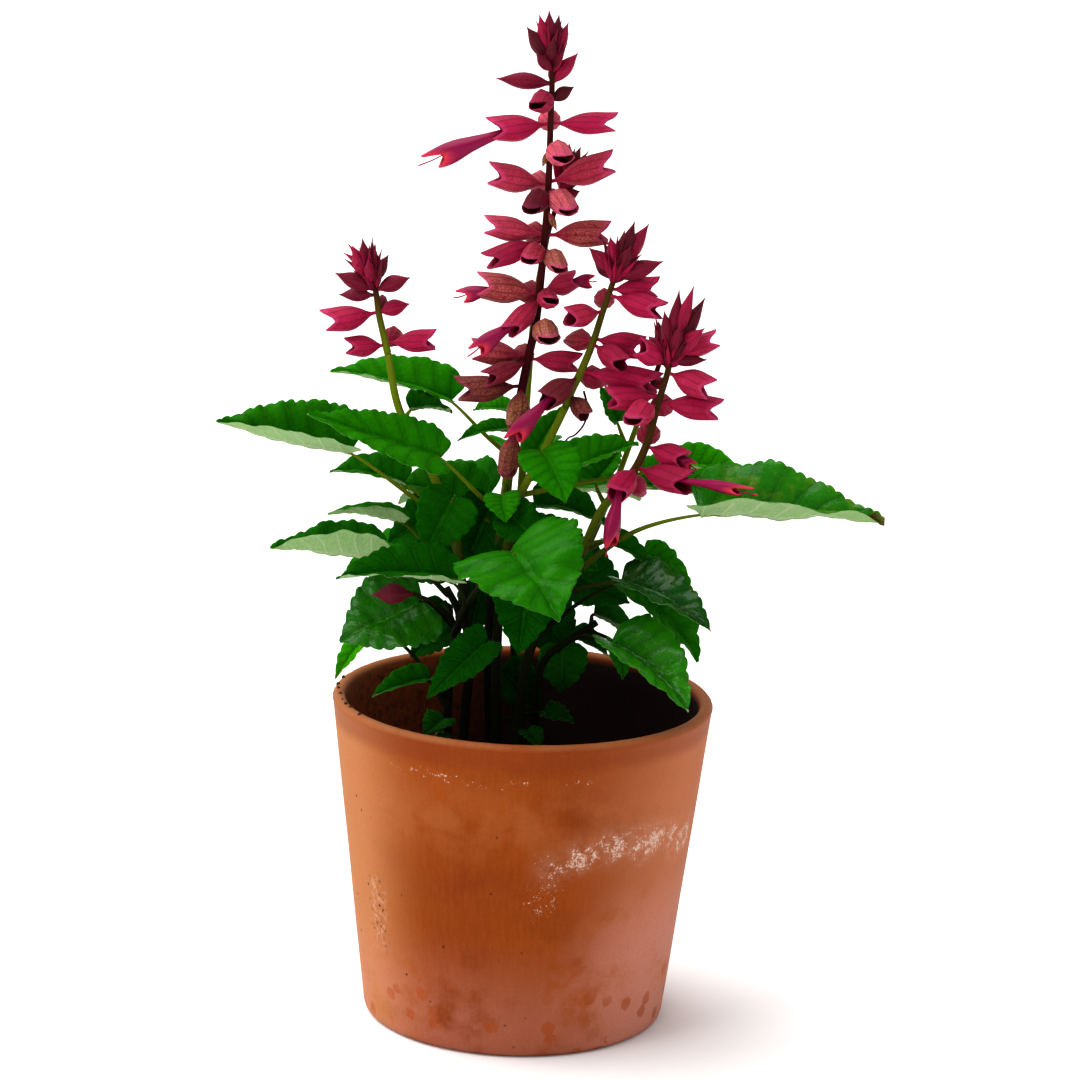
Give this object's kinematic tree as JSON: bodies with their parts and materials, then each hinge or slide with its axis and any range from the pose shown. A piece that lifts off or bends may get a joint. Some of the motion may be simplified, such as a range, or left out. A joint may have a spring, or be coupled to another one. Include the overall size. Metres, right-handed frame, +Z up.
{
  "type": "potted salvia",
  "caption": "Scarlet salvia in a plain tapered terracotta pot: toothed green leaves on branching stems, burgundy calyx spikes and a few open magenta-red flowers.",
  "frame": {"origin": "centre of the underside of the pot's foot, on the ground", "axes": "+Z up along the pot's axis, -Y is the front"},
  "size_m": [0.2386, 0.1475, 0.3735],
  "materials": {
    "terracotta": "matt fired clay with pale salt bloom",
    "soil": "dark crumbly potting soil",
    "foliage": "satin green leaf and stem",
    "calyx": "matt burgundy calyx and rachis",
    "corolla": "soft magenta-red petal"
  },
  "bodies": {
    "root": {"pot": "terracotta", "soil": "soil", "stem_main": "foliage", "stem_left": "foliage", "stem_centre": "foliage", "stem_right": "foliage", "stem_back": "foliage", "shoot_low_left": "foliage", "shoot_low_right": "foliage", "spike_main": "calyx", "spike_behind": "calyx", "spike_left": "calyx", "spike_centre": "calyx", "spike_right": "calyx", "spike_far": "calyx", "bud_low_left": "calyx", "corolla_main_high": "corolla", "corolla_main_mid": "corolla", "corolla_main_low": "corolla", "corolla_main_right": "corolla", "corolla_centre": "corolla", "corolla_right_high": "corolla", "corolla_right_long": "corolla", "corolla_right_thin": "corolla"}
  },
  "joints": []
}
